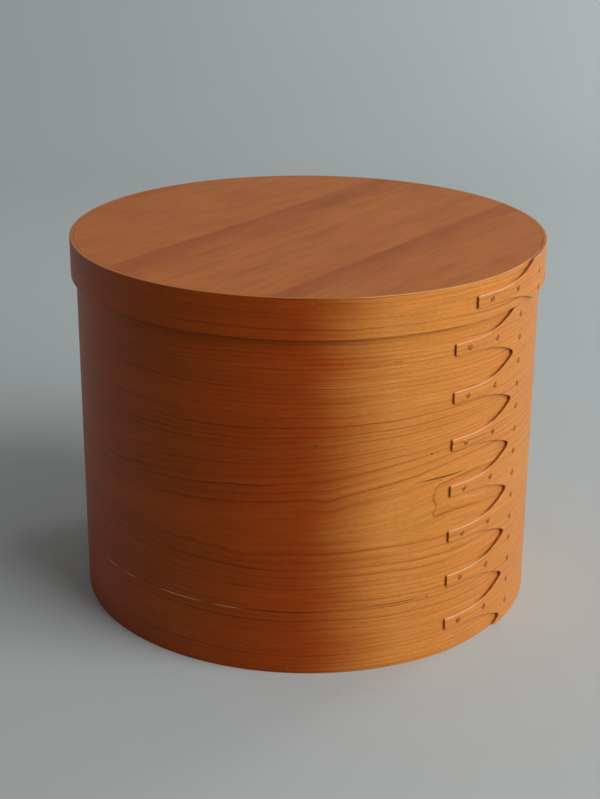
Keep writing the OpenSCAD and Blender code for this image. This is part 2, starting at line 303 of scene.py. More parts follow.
class StripMesh:
    """Collects patches of a strip, given as angle, height and radius, with a map of the flat strip"""

    def __init__(self, face):
        self.face = face
        self.points = []
        self.flat = []
        self.faces = []

    def _add(self, angle, height, radius):
        angle, height, radius = np.broadcast_arrays(angle, height, radius)
        first = len(self.points)
        self.points.extend(np.stack([radius * np.cos(angle), radius * np.sin(angle), height], -1).reshape(-1, 3))
        self.flat.extend(np.stack([(angle + math.pi / 2) * self.face, height], -1).reshape(-1, 2))
        return first, angle.shape

    def grid(self, angle, height, radius):
        first, (n, m) = self._add(angle, height, radius)
        for i in range(n - 1):
            for j in range(m - 1):
                k = first + i * m + j
                self.faces.append((k, k + 1, k + m + 1, k + m))

    def tube(self, angle, height, radius):
        """A grid whose columns are closed loops"""
        angle, height, radius = np.broadcast_arrays(angle, height, radius)
        self.grid(*(np.concatenate([a, a[:, :1]], 1) for a in (angle, height, radius)))

    def polygon(self, angle, height, radius):
        first, (n,) = self._add(angle, height, radius)
        self.faces.append(tuple(range(first, first + n)))

    def piece(self, name, material):
        mesh = bpy.data.meshes.new(name)
        mesh.from_pydata([tuple(p) for p in self.points], [], self.faces)
        layer = mesh.uv_layers.new(name="strip")
        corners = np.zeros(len(mesh.loops), np.int32)
        mesh.loops.foreach_get("vertex_index", corners)
        layer.data.foreach_set("uv", np.array(self.flat, np.float32)[corners].ravel())
        shape = bmesh.new()
        shape.from_mesh(mesh)
        bmesh.ops.remove_doubles(shape, verts=shape.verts, dist=MERGE)
        bmesh.ops.dissolve_degenerate(shape, edges=shape.edges, dist=SPECK)
        bmesh.ops.recalc_face_normals(shape, faces=shape.faces)
        loose = [e for e in shape.edges if not e.is_manifold]
        if loose:
            raise RuntimeError(f"{name} isn't closed: {len(loose)} open edges")
        shape.to_mesh(mesh)
        shape.free()
        mesh.materials.append(material)
        mesh.shade_smooth()
        mesh.set_sharp_from_angle(angle=SHARP)
        obj = bpy.data.objects.new(name, mesh)
        bpy.context.scene.collection.objects.link(obj)
        even = obj.modifiers.new("even_faces", "WEIGHTED_NORMAL")
        even.keep_sharp = True
        return made_plain(obj)


def made_plain(obj):
    """Turns what the modifiers give into the object's own mesh"""
    graph = bpy.context.evaluated_depsgraph_get()
    mesh = bpy.data.meshes.new_from_object(obj.evaluated_get(graph), preserve_all_data_layers=True, depsgraph=graph)
    mesh.name = obj.name
    obj.modifiers.clear()
    obj.data = mesh
    return obj


def add_finger(strip, b, lap, x, half, along, across, centre):
    """A finger, and the strip behind it, as a tube of eased cross-sections closed at the tip.
    Returns the angles, heights and radii of its last cross-section."""
    outer_edge = eased(b.arris)
    inner_edge = eased(b.arris * INNER_EASE)
    profile = [(f, outer_edge[0], None) for f in ROWS]
    profile += [(1, step, None) for step in outer_edge[1:]]
    profile += [(1, None, step) for step in inner_edge[::-1]]
    profile += [(f, None, inner_edge[0]) for f in ROWS[-2::-1]]
    profile += [(-1, None, step) for step in inner_edge[1:]]
    profile += [(-1, step, None) for step in outer_edge[:0:-1]]
    thin = ease_share(b, lap, lap_angle(b, lap, x))
    columns = []
    for f, outer, inner in profile:
        step = (outer or inner)[0] * thin
        depth = (outer or inner)[1] * thin
        angle = lap_angle(b, lap, x - step * along)
        r_in, r_out = strip_radii(b, lap, angle)
        columns.append((angle, centre + f * (half - step * across), r_out - depth if outer else r_in + depth))
    angle, height, radius = (np.stack(c, 1) for c in zip(*columns))
    strip.tube(angle, height, radius)
    caps = []
    for f in ROWS:
        for outer, inner in [(s, None) for s in outer_edge] + [(None, s) for s in inner_edge[::-1]]:
            step, depth = outer or inner
            at = lap_angle(b, lap, x[0] - step * along[0])
            r_in, r_out = strip_radii(b, lap, at)
            caps.append((at, centre + f * half[0], r_out - depth if outer else r_in + depth))
    strip.grid(*np.array(caps).reshape(len(ROWS), -1, 3).transpose(2, 0, 1))
    return angle[-1], height[-1], radius[-1]


def build_lid_strip(b):
    lap = lid_lap(b)
    pitch = finger_pitch(b)
    centre = (LID_Z + TOP_Z) / 2
    limit = (TOP_Z - LID_Z) / 2
    x, w, along, across = finger_edge(b, (pitch - b.lid_tip_width) / 2, b.lid_straight, b.lid_finger_length)
    half = pitch / 2 - w
    inside = half < limit
    meet = np.interp(limit, half, x)
    face = lap.inner + b.thickness
    lap_end = (lap.start - lap.tip) * face
    round_end = TURN * face
    rest = np.concatenate([
        np.linspace(meet, lap_end, LID_LAP_STEPS),
        np.linspace(lap_end, round_end, RING_STEPS)[1:],
        np.linspace(round_end, (lap.feather - lap.tip + TURN) * face, FEATHER_STEPS)[1:],
    ])
    x = np.concatenate([x[inside], rest])
    half = np.concatenate([half[inside], np.full_like(rest, limit)])
    along = np.concatenate([along[inside], np.zeros_like(rest)])
    across = np.concatenate([across[inside], np.ones_like(rest)])
    strip = StripMesh(face)
    strip.polygon(*add_finger(strip, b, lap, x, half, along, across, centre))
    return strip


def build_body_strip(b):
    lap = body_lap(b)
    pitch = finger_pitch(b)
    face = lap.inner + b.thickness
    edge = eased(b.arris)
    inner_edge = eased(b.arris * INNER_EASE)
    x, w, along, across = finger_edge(b, (pitch - b.tip_width) / 2, b.straight, b.finger_length)
    half = pitch / 2 - w
    strip = StripMesh(face)
    centres = [b.foot_gap + (k + 0.5) * pitch for k in range(b.finger_count)]
    for centre in centres:
        add_finger(strip, b, lap, x, half, along, across, centre)

    # the ring behind the fingers, as half profiles from the foot to the rim
    def rim(steps, plain):
        foot = [(0, step, depth) for step, depth in steps[::-1]]
        top = [(BODY_H, -step, depth) for step, depth in steps]
        return np.array(foot + [(z, 0, 0) for z in plain] + top).T

    levels = [(steps[0][0] + b.foot_gap) / 2 for steps in (edge, inner_edge)]
    rows = np.concatenate([[b.foot_gap], *[c + ROWS[1:] * pitch / 2 for c in centres]])
    above = [LID_Z, (LID_Z + BODY_H) / 2]
    outer_profile = rim(edge, np.concatenate([[levels[0]], rows, above]))
    inner_profile = rim(inner_edge, np.concatenate([[levels[1]], rows, above]))
    pared = np.arange(outer_profile.shape[1]) >= len(edge) + 1 + len(rows)
    apex = x[-1]
    columns = np.concatenate([
        np.linspace(lap.feather, lap.tip, FEATHER_STEPS),
        np.linspace(lap.tip, lap.start - TURN, RING_STEPS)[1:],
        np.linspace(lap.start - TURN, lap_angle(b, lap, apex + edge[0][0]), BOX_LAP_STEPS)[1:],
    ])[:, None]
    thin = ease_share(b, lap, columns)
    outer_angle = columns + 0 * outer_profile[0]
    inner_angle = columns + 0 * inner_profile[0]
    inner_angle[-1] = lap_angle(b, lap, apex + inner_edge[0][0])
    outer_z = outer_profile[0] + outer_profile[1] * thin
    inner_z = inner_profile[0] + inner_profile[1] * thin
    shaved = lap.inner + b.thickness + b.pare
    outer_r = strip_radii(b, lap, outer_angle)[1]
    outer_r = np.where(pared, np.minimum(outer_r, shaved), outer_r) - outer_profile[2] * thin
    inner_r = strip_radii(b, lap, inner_angle)[0] + inner_profile[2] * thin
    strip.tube(np.concatenate([outer_angle, inner_angle[:, ::-1]], 1),
               np.concatenate([outer_z, inner_z[:, ::-1]], 1),
               np.concatenate([outer_r, inner_r[:, ::-1]], 1))
    pairs = [np.stack(p, -1) for p in ((outer_angle, inner_angle), (outer_z, inner_z), (outer_r, inner_r))]
    strip.grid(*(p[0] for p in pairs))
    strip.grid(*(p[-1][pared] for p in pairs))

    # the small ledge where the lap is pared to pass under the lid
    corner = [(apex + step, depth, 1) for step, depth in edge]
    corner += [(apex + step, depth, 0) for step, depth in inner_edge[::-1]]
    ledge = []
    for s, depth, on_face in corner:
        at = lap_angle(b, lap, s)
        r_in, r_out = strip_radii(b, lap, at)
        ledge.append((at, LID_Z, r_out - depth if on_face else r_in + depth))
    ledge.append((outer_angle[-1, 0], LID_Z, shaved))
    strip.polygon(*np.array(ledge).T)

    # the sliver of strip left below the lowest gap, feathered out to its end
    kept = b.foot_gap - w > LEAST_SLIVER
    x, along, across, top = x[kept], along[kept], across[kept], (b.foot_gap - w)[kept]
    full = np.clip((x - x[0]) / (x[-1] - 2 * b.gap_end - x[0]), SLIVER_END, 1)
    loop = [(step, None, depth, 1, edge[0][0]) for step, depth in edge[::-1]]
    loop += [(None, 0.5, 0, 1, edge[0][0]), *[(None, 1, depth, 1, step) for step, depth in edge]]
    loop += [(None, 1, depth, 0, step) for step, depth in inner_edge[::-1]]
    loop += [(None, 0.5, 0, 0, inner_edge[0][0])]
    loop += [(step, None, depth, 0, inner_edge[0][0]) for step, depth in inner_edge]
    sides = []
    for height, share, depth, on_face, step in loop:
        at = lap_angle(b, lap, x - step * along)
        r_in, r_out = strip_radii(b, lap, at)
        if share is None:
            z = np.full_like(x, height)
        elif share == 1:
            z = top - step * across
        else:
            z = (step + top - step * across) / 2
        sides.append((at, z, r_in + (r_out - r_in - depth) * full if on_face else r_in + depth * full))
    angle, height, radius = (np.stack(c, 1) for c in zip(*sides))
    strip.tube(angle, height, radius)
    strip.polygon(angle[0], height[0], radius[0])
    return strip


# Tacks and pegs

def tack_seat(b, lap, s, z):
    """Point on the lap's outer face, the way out of it, and the thickness of both layers there"""
    outer = lap.inner + b.thickness + b.arc_step
    centre = -lap.shift * np.array([math.cos(lap.start), math.sin(lap.start)])
    at = float(lap_angle(b, lap, s))
    place = float(rising(lap, outer, at)) * np.array([math.cos(at), math.sin(at)])
    out = (place - centre) / np.linalg.norm(place - centre)
    lean = math.atan2(out[1], out[0]) - lap.start
    grip = outer + lap.shift * (1 - math.cos(lean)) - math.sqrt(lap.inner ** 2 - (lap.shift * math.sin(lean)) ** 2)
    planed = float(thinned(b, lap, s))
    return (*(place - planed * out), z), (*out, 0.0), grip - planed


def peg_seats(b, p, lap, z):
    """Points round a strip between the two sides of its lap, the way out of each, and no grip"""
    r = lap.inner + b.thickness
    margin = p.margin / lap.inner
    angles = np.linspace(lap.start + margin, lap.tip + TURN - margin, p.count)
    return [((r * math.cos(a), r * math.sin(a), z), (math.cos(a), math.sin(a), 0.0), 0.0) for a in angles]


def add(tree, kind, inputs=(), operation=None, out=0, **settings):
    """Adds a node with its settings, and sets or links its inputs, given in order or by key. Returns one of
    its outputs, or the node itself where out is None. A kind that names no family is a shader node."""
    made = tree.nodes.new(kind if "Node" in kind else "ShaderNode" + kind)
    if operation:
        made.operation = operation
    for key, value in settings.items():
        setattr(made, key, value)
    for key, value in inputs.items() if isinstance(inputs, dict) else enumerate(inputs):
        if isinstance(value, bpy.types.NodeSocket):
            tree.links.new(value, made.inputs[key])
        else:
            made.inputs[key].default_value = value
    return made if out is None else made.outputs[out]


def fastener_tree(name, sizes):
    """Node tree with a geometry input and one named input for each size: the tree, what adds its nodes, its
    inputs, the way out of each seat, and the turn that points +Z along it, still and with a random spin"""
    tree = bpy.data.node_groups.new(name, "GeometryNodeTree")
    inputs = [("Seats", "Geometry"), *((size, "Int" if size == "Seed" else "Float") for size in sizes),
              ("Material", "Material")]
    for socket, kind in inputs:
        tree.interface.new_socket(socket, in_out="INPUT", socket_type="NodeSocket" + kind)
    tree.interface.new_socket("Fasteners", in_out="OUTPUT", socket_type="NodeSocketGeometry")
    node = partial(add, tree)
    given = node("NodeGroupInput", out=None).outputs
    outward = node("GeometryNodeInputNamedAttribute", {"Name": "outward"}, data_type="FLOAT_VECTOR")
    aim = node("FunctionNodeAlignRotationToVector", {"Vector": outward}, axis="Z")
    spin = node("FunctionNodeRandomValue", {2: 0.0, 3: TURN, "Seed": given["Seed"]}, out=1, data_type="FLOAT")
    turn = node("FunctionNodeAxisAngleToRotation", {"Axis": (0, 0, 1), "Angle": spin})
    spun = node("FunctionNodeRotateRotation", (aim, turn), rotation_space="LOCAL")
    return tree, node, given, outward, aim, spun


def on_seats(node, seats, outward, shape, depth, turn, sizes):
    """A shape of the given sizes on every seat, moved along the way out by a depth"""
    shift = node("VectorMath", {0: outward, "Scale": depth}, "SCALE")
    places = node("GeometryNodeSetPosition", {"Geometry": seats, "Offset": shift})
    scale = node("CombineXYZ", sizes)
    return node("GeometryNodeInstanceOnPoints",
                {"Points": places, "Instance": shape, "Rotation": turn, "Scale": scale})


def tack_tree():
    """Hammered head, shank and clinched end on every seat"""
    tree, node, given, outward, aim, spun = fastener_tree(
        "copper_tacks", ("Head", "Crown", "Shank", "Clinch", "Clinch thickness", "Dent", "Seed"))
    grip = node("GeometryNodeInputNamedAttribute", {"Name": "grip"}, data_type="FLOAT")
    ball = node("GeometryNodeMeshUVSphere", {"Segments": 24, "Rings": 14, "Radius": 1.0})
    rod = node("GeometryNodeMeshCylinder", {"Vertices": 12, "Radius": 0.5, "Depth": 1.0})
    head, clinch, shank = (node("Math", (given[size], 0.5), "MULTIPLY") for size in ("Head", "Clinch", "Shank"))
    middle, inside = (node("Math", (grip, share), "MULTIPLY") for share in (-0.5, -1.0))
    join = node("GeometryNodeJoinGeometry", out=None)
    for shape, depth, turn, sizes in ((ball, 0.0, spun, (head, head, given["Crown"])),
                                      (rod, middle, aim, (given["Shank"], given["Shank"], grip)),
                                      (ball, inside, aim, (clinch, shank, given["Clinch thickness"]))):
        tree.links.new(on_seats(node, given["Seats"], outward, shape, depth, turn, sizes), join.inputs[0])
    solid = node("GeometryNodeRealizeInstances", {"Geometry": join.outputs[0]})
    # hammer marks about 1.4 mm across
    mark = node("TexNoise", {"Scale": 700.0, "Detail": 1.0})
    low = node("Math", (mark, 1.0), "SUBTRACT")
    depth = node("Math", (low, given["Dent"]), "MULTIPLY")
    normal = node("GeometryNodeInputNormal")
    push = node("VectorMath", {0: normal, "Scale": depth}, "SCALE")
    struck = node("GeometryNodeSetPosition", {"Geometry": solid, "Offset": push})
    coat = node("GeometryNodeSetMaterial", {"Geometry": struck, "Material": given["Material"]})
    node("NodeGroupOutput", (coat,), out=None)
    return tree


def peg_tree():
    """A short round peg in every seat"""
    tree, node, given, outward, _, spun = fastener_tree("wooden_pegs", ("Diameter", "Length", "Proud", "Seed"))
    rod = node("GeometryNodeMeshCylinder", {"Vertices": 20, "Radius": 0.5, "Depth": 1.0})
    back = node("Math", (given["Length"], -0.5, given["Proud"]), "MULTIPLY_ADD")
    sizes = (given["Diameter"], given["Diameter"], given["Length"])
    pegs = on_seats(node, given["Seats"], outward, rod, back, spun, sizes)
    solid = node("GeometryNodeRealizeInstances", {"Geometry": pegs})
    coat = node("GeometryNodeSetMaterial", {"Geometry": solid, "Material": given["Material"]})
    node("NodeGroupOutput", (coat,), out=None)
    return tree


def set_fasteners(name, tree, seats, values, material):
    """Runs a fastener tree on its seats and keeps the result as a plain mesh"""
    places, outward, grips = zip(*seats)
    mesh = bpy.data.meshes.new(name)
    mesh.from_pydata(places, [], [])
    mesh.attributes.new("outward", "FLOAT_VECTOR", "POINT").data.foreach_set(
        "vector", np.array(outward, np.float32).ravel())
    mesh.attributes.new("grip", "FLOAT", "POINT").data.foreach_set("value", np.array(grips, np.float32))
    obj = bpy.data.objects.new(name, mesh)
    bpy.context.scene.collection.objects.link(obj)
    fit = obj.modifiers.new(name, "NODES")
    fit.node_group = tree
    for socket in tree.interface.items_tree:
        if socket.in_out == "INPUT" and socket.name in values:
            fit[socket.identifier] = values[socket.name]
        elif socket.name == "Material":
            fit[socket.identifier] = material
    made_plain(obj)
    obj.data.shade_smooth()
    obj.data.set_sharp_from_angle(angle=FASTENER_SHARP)
    return obj


# Materials

COLOURS = {"data_type": "RGBA", "out": 2}
SMOOTH = {"interpolation_type": "SMOOTHSTEP"}


def new_material(name):
    """An empty material, and what adds its nodes"""
    material = bpy.data.materials.new(name)
    material.use_nodes = True
    material.node_tree.nodes.clear()
    return material, partial(add, material.node_tree)


def add_skin(node, tone, rough, height, strength, depth=0.00003, **sockets):
    """The bump, shader and output that a material ends with"""
    bump = node("Bump", {"Strength": strength, "Distance": depth, "Height": height})
    values = {"Base Color": tone, "Roughness": rough, "Normal": bump}
    values.update((key.replace("_", " "), value) for key, value in sockets.items())
    node("OutputMaterial", (node("BsdfPrincipled", values),), out=None)


def hill(node, mm, along, up, half_length, half_height):
    """1 at a place on a strip, falling away smoothly to 0 around it"""
    scale, shift = (1 / half_length, 1 / half_height, 0), (-along / half_length, -up / half_height, 0)
    near = node("VectorMath", (mm, scale, shift), "MULTIPLY_ADD")
    square = node("VectorMath", (near, near), "DOT_PRODUCT", "Value")
    return node("Math", (1 / math.e, square), "POWER")


def figure(node, place, per_mm, detail=2.0, roughness=0.5):
    """Random figure in the wood, with so many patches in a millimetre along the grain and across it"""
    at = node("VectorMath", (place, (*per_mm, 0)), "MULTIPLY")
    return node("TexNoise", {"Vector": at, "Scale": 1.0, "Detail": detail, "Roughness": roughness},
                noise_dimensions="2D")


Grain = namedtuple("Grain", "start heart depth bends noses marks golds")

# The growth rings of a strip, in millimetres along it from the front and up it. They lie round a heart line
# at one height, at a depth behind the face. A bend (along, up, half length, half height, rise) lifts the
# lines. A nose (first, last, run, half height, dip) is where the face cuts into the next ring between two
# places, so that a line closes in an arch at each. A mark (along, up, half length, half height, tone) is a
# gum spot or a piece of a hairline split, and a pale piece is a painted highlight along the lip of the split.
# The wood is red, with a painted gold sheen between the two places of each of its sheen spans, on the side of
# the box that faces the key light.
SHEEN_SPANS = ((-5, 56), (-420, -640))
BOX_GRAIN = Grain(
    start=0.0, heart=94.0, depth=16.0,
    bends=((-150, 112, 110, 32, -13), (-150, 70, 90, 30, 6), (125, 124, 80, 24, 13), (88, 98, 34, 14, 4),
           (12, 106, 9, 9, -3), (-38, 78, 9, 7, -3), (-400, 120, 120, 40, 9), (-590, 90, 90, 30, -8)),
    noses=((74, 600, 7, 11, 3.5), (-560, -330, 9, 13, 3.9)),
    marks=((-138, 39.6, 7, 0.4, "pale"), (-118, 39.6, 5, 0.3, "pale"), (-77, 39.8, 15, 0.32, "pale"),
           (-46, 39.6, 9, 0.26, "pale"), (-16, 39.8, 26, 0.35, "dark"), (53, 41.5, 19, 0.3, "dark"),
           (5, 143, 1.3, 0.8, "faint"), (74, 131, 0.8, 0.6, "dark"), (74, 41, 0.7, 0.5, "dark"),
           (-146, 195, 1.1, 0.7, "faint"), (51, 189, 3.4, 0.4, "faint"), (-38, 54.5, 8, 0.35, "faint"),
           (82, 115, 16, 0.5, "dark"), (-330, 66, 5, 0.5, "faint"), (-505, 150, 1.3, 0.8, "faint")),
    golds=SHEEN_SPANS)
LID_GRAIN = Grain(
    start=1730.0, heart=150.0, depth=30.0, bends=((-300, 215, 160, 60, 6), (-560, 215, 110, 60, -5)), noses=(),
    marks=((-230, 212, 2.5, 0.4, "faint"), (-470, 221, 4, 0.4, "faint")), golds=SHEEN_SPANS)

SWAY, WAVE = 4.0, 1.6                   # how far the slow sway and the small waves move the lines
RAGGED = 16.0                           # how far the small waves move the ends of the noses
RING_NEAR, RING_FAR = 4.2, 2.7          # width of a year's ring near the heart, and further out
NEAR_END, RINGS_END = 40, 140           # where the rings turn narrow, and the furthest that one lies
FIRST_YEAR = 0.267                      # part of a year that has grown at the heart line
FEATHER, FRAY = 34.0, 8.0               # how far streaks and threads of the red wood and the painted gold sheen run into each other
# late wood through a year: a soft rise to a thin dark line
LATE_WOOD = ((0.0, 0.4), (0.97, 1.0), (0.05, 0.0), (0.4, 0.0), (0.82, 0.3), (0.89, 1.0))
# strength of the lines from the heart to the furthest ring: the third line out from the heart is faint
LINE_FORCE = ((0.0, 0.7), (0.95, 0.55), (0.18, 0.7), (0.188, 0.35), (0.21, 0.35), (0.222, 0.75), (0.27, 0.6),
              (0.66, 0.62))


def bent_cherry(name, look, grain, top, notch):
    """Flat-sawn cherry strip, planed, steamed, sanded and oiled: thin dark growth lines that close in arches
    where the cut runs along the rings, hair-fine fibres, a few gum spots, and a satin skin whose gloss is
    tinted gold, because the light comes back from the fibres. A gold sheen is painted into the colour on the
    side that faces the key light. Reads the strip's own map in millimetres. Its rim is at the height top, and
    its fingers' edges turn from a painted highlight to painted shade between the two places of notch."""
    material, node = new_material(name)
    flat = node("UVMap", uv_map="strip")
    mm = node("VectorMath", {0: flat, "Scale": MM}, "SCALE")
    own = node("VectorMath", (mm, (grain.start, 0, 0)), "ADD")
    along, high, _ = node("SeparateXYZ", (mm,), out=None).outputs

    # slow sway over about 120 mm, and small waves over about 25 mm
    slow = figure(node, own, (0.008, 0.018), 1.0)
    wave = figure(node, own, (0.035, 0.05))
    sway = node("Math", (slow, SWAY, high), "MULTIPLY_ADD")
    level = node("Math", (wave, WAVE, sway), "MULTIPLY_ADD")
    for *place, rise in grain.bends:
        level = node("Math", (hill(node, mm, *place), -rise, level), "MULTIPLY_ADD")

    # the face cuts each ring where its distance from the heart line is the ring's radius
    off = node("Math", (level, grain.heart + (SWAY + WAVE) / 2), "SUBTRACT")
    spoke = node("CombineXYZ", (off, grain.depth))
    ring_r = node("VectorMath", (spoke,), "LENGTH", "Value")
    ragged = node("Math", (wave, RAGGED, along), "MULTIPLY_ADD")
    for first, last, run, half_height, dip in grain.noses:
        first, last = first + RAGGED / 2, last + RAGGED / 2
        begun = node("MapRange", (ragged, first, first + run, 0, -dip), **SMOOTH)
        ended = node("MapRange", (ragged, last, last - run), **SMOOTH)
        near = hill(node, node("CombineXYZ", {1: off}), 0, 0, 1, half_height)
        held = node("Math", (near, ended), "MULTIPLY")
        ring_r = node("Math", (begun, held, ring_r), "MULTIPLY_ADD")
    gained = (RINGS_END - NEAR_END) * (1 / RING_FAR - 1 / RING_NEAR)
    slower = node("MapRange", (ring_r, NEAR_END, RINGS_END, FIRST_YEAR, FIRST_YEAR + gained))
    years = node("Math", (ring_r, 1 / RING_NEAR, slower), "MULTIPLY_ADD")
    year, part = (node("Math", (years,), step) for step in ("FLOOR", "FRACT"))
    lot = node("TexWhiteNoise", {"W": year}, noise_dimensions="1D")
    chance = node("MapRange", (lot, 0, 1, 0.2, 1.0))
    reach = node("Math", (ring_r, 1 / RINGS_END), "MULTIPLY")
    drawn = chance
    for at, steps in ((part, LATE_WOOD), (reach, LINE_FORCE)):
        ramp = node("ValToRGB", (at,), out=None)
        stops = ramp.color_ramp.elements
        for i, (place, shade) in enumerate(steps):
            stop = stops[i] if i < 2 else stops.new(place)
            stop.position, stop.color = place, (shade, shade, shade, 1)
        drawn = node("Math", (ramp.outputs[0], drawn), "MULTIPLY")

    # fibres about 0.7 mm apart and 30 mm long, flecks 3 mm long, threads 2 mm apart, broad redder streaks, and
    # lines that come and go over about 80 mm
    own_along = node("SeparateXYZ", (own,))
    grain_way = node("CombineXYZ", (own_along, level))
    fibre = figure(node, grain_way, (0.035, 1.4), 4.0, 0.62)
    fleck = figure(node, grain_way, (0.3, 1.5), 1.0)
    thread = figure(node, grain_way, (0.007, 0.5))
    streak = figure(node, grain_way, (0.006, 0.07), 3.0)
    going = figure(node, node("CombineXYZ", (own_along, year)), (0.012, 3.1))
    fade = node("MapRange", (going, 0.3, 0.7, 0.45, 1.55))
    deep = node("MapRange", (streak, 0.3, 0.75))
    body = node("Mix", {0: deep, 6: look.strip, 7: look.strip_deep}, **COLOURS)

    # painted gold sheen on the side of the strip that faces the key light, running into the red wood in feathers
    # up to 21 mm either way; the growth lines are drawn stronger where the sheen is not laid
    feather = node("Math", (streak, FEATHER, -FEATHER / 2), "MULTIPLY_ADD")
    feather = node("Math", (thread, FRAY, feather), "MULTIPLY_ADD")
    feather = node("Math", (feather, along), "ADD")
    painted_sheen = 0.0
    for first, last in grain.golds:
        share = node("MapRange", (feather, first + FRAY / 2, last + FRAY / 2), **SMOOTH)
        painted_sheen = node("Math", (share, painted_sheen), "MAXIMUM")
    body = node("Mix", {0: painted_sheen, 6: body, 7: look.strip_sheen}, **COLOURS)
    lines_off_sheen = node("MapRange", (painted_sheen, 0, 1, 1.35, 1.0))
    line_strength = node("Math", (fade, lines_off_sheen), "MULTIPLY")
    lines = node("Math", (drawn, line_strength), "MULTIPLY", use_clamp=True)
    ringed = node("Mix", {0: lines, 6: body, 7: look.strip_line}, blend_type="MULTIPLY", **COLOURS)
    fine = node("Math", (thread, 0.4, fibre), "MULTIPLY_ADD")
    fine = node("Math", (fleck, 0.5, fine), "MULTIPLY_ADD")
    shade = node("MapRange", (fine, 0.65, 1.25, 0.8, 1.2))
    tone = node("VectorMath", {0: ringed, "Scale": shade}, "SCALE")
    height = node("Math", (lines, -0.4, fibre), "MULTIPLY_ADD")
    # the pale pieces of a split are a painted highlight along its lip
    tones = {"dark": (look.gum, 0.8), "faint": (look.gum, 0.5), "pale": (look.pale_highlight, 0.6)}
    for *place, kind in grain.marks:
        paint, most = tones[kind]
        spot = node("MapRange", (hill(node, mm, *place), 0.2, 0.6, 0, most))
        tone = node("Mix", {0: spot, 6: tone, 7: paint}, **COLOURS)
        height = node("Math", (spot, -0.8, height), "MULTIPLY_ADD")

    # cut edges: dark where they face along the strip, partly end grain and partly painted shade, full on edges that
    # face sideways and down and, on up-facing ones, towards the notches at the gaps' ends; a painted highlight on
    # the edges that face up, most near the tips and on the rims on the side that faces the key light; and the
    # board's tone on the rim
    place = node("TexCoord", out="Object")
    level_place = node("VectorMath", (place, (1, 1, 0)), "MULTIPLY")
    outward = node("VectorMath", (level_place,), "NORMALIZE")
    normal = node("NewGeometry", out="Normal")
    facing = node("VectorMath", (outward, normal), "DOT_PRODUCT", "Value")
    flatness = node("Math", (facing,), "ABSOLUTE")
    up = node("SeparateXYZ", (normal,), out=2)
    cut_and_shade = node("MapRange", (flatness, 0.7, 0.3, 0, 0.85))
    corner = node("MapRange", (flatness, 0.98, 0.9))
    at_top = node("MapRange", (high, top - 1.2, top - 0.8))
    rim = node("MapRange", (up, 0.9, 0.98, 0, at_top))
    in_notch = node("MapRange", (along, notch[0], notch[1]))
    finger_highlight = node("MapRange", (in_notch, 0, 1, 0.9, 0.25))
    rim_highlight = node("MapRange", (painted_sheen, 0, 1, 0.08, 0.5))
    highlight_share = node("Mix", {0: at_top, 2: finger_highlight, 3: rim_highlight}, data_type="FLOAT")
    # painted highlight on edges that face up, strongest near the tips and on the rims on the side that faces the
    # key light
    edge_highlight = node("MapRange", (up, 0.1, 0.45, 0, highlight_share))
    # painted shade over the dark end grain: full on edges that face sideways and down, and on up-facing ones
    # towards the notches
    notch_shade = node("MapRange", (in_notch, 0, 1, 0.1, 0.9))
    facing_shade = node("MapRange", (up, 0.2, 0.7, 1.0, notch_shade))
    cut_and_shade = node("Math", (cut_and_shade, facing_shade), "MULTIPLY")
    for share, paint in ((edge_highlight, look.pale_highlight), (cut_and_shade, look.end_grain), (rim, look.board)):
        tone = node("Mix", {0: share, 6: tone, 7: paint}, **COLOURS)

    # satin where planed, and polished on the eased corners
    satin = node("MapRange", (fibre, 0.2, 0.8, 0.38, 0.50))
    polished = node("Math", (corner, flatness), "MULTIPLY")
    rough = node("Mix", {0: polished, 2: satin, 3: 0.24}, data_type="FLOAT")
    add_skin(node, tone, rough, height, 0.6, IOR=1.5, Specular_Tint=look.gloss)
    return material


GRAIN_ANGLE = math.radians(54.5)    # way of the planks' grain from +X
BOARD_RING = 6.0                    # width of a year's ring in the boards
BOARD_SWAY, UNEVEN = 12.0, 20.0     # how far its lines sway, and how far they stray from an even width
# each plank's glue line across the grain, how far the darker tone along it reaches, and its own start in the figure
PLANKS = {
    "lid_plank_left": (150.0, 26.0, 0.0),
    "lid_plank_middle": (41.0, 44.0, 410.0),
    "lid_plank_right": (-65.0, 32.0, 930.0),
    "base_plank_left": (135.0, 26.0, 1370.0),
    "base_plank_middle": (53.0, 26.0, 1810.0),
    "base_plank_right": (-53.0, 26.0, 2290.0),
}


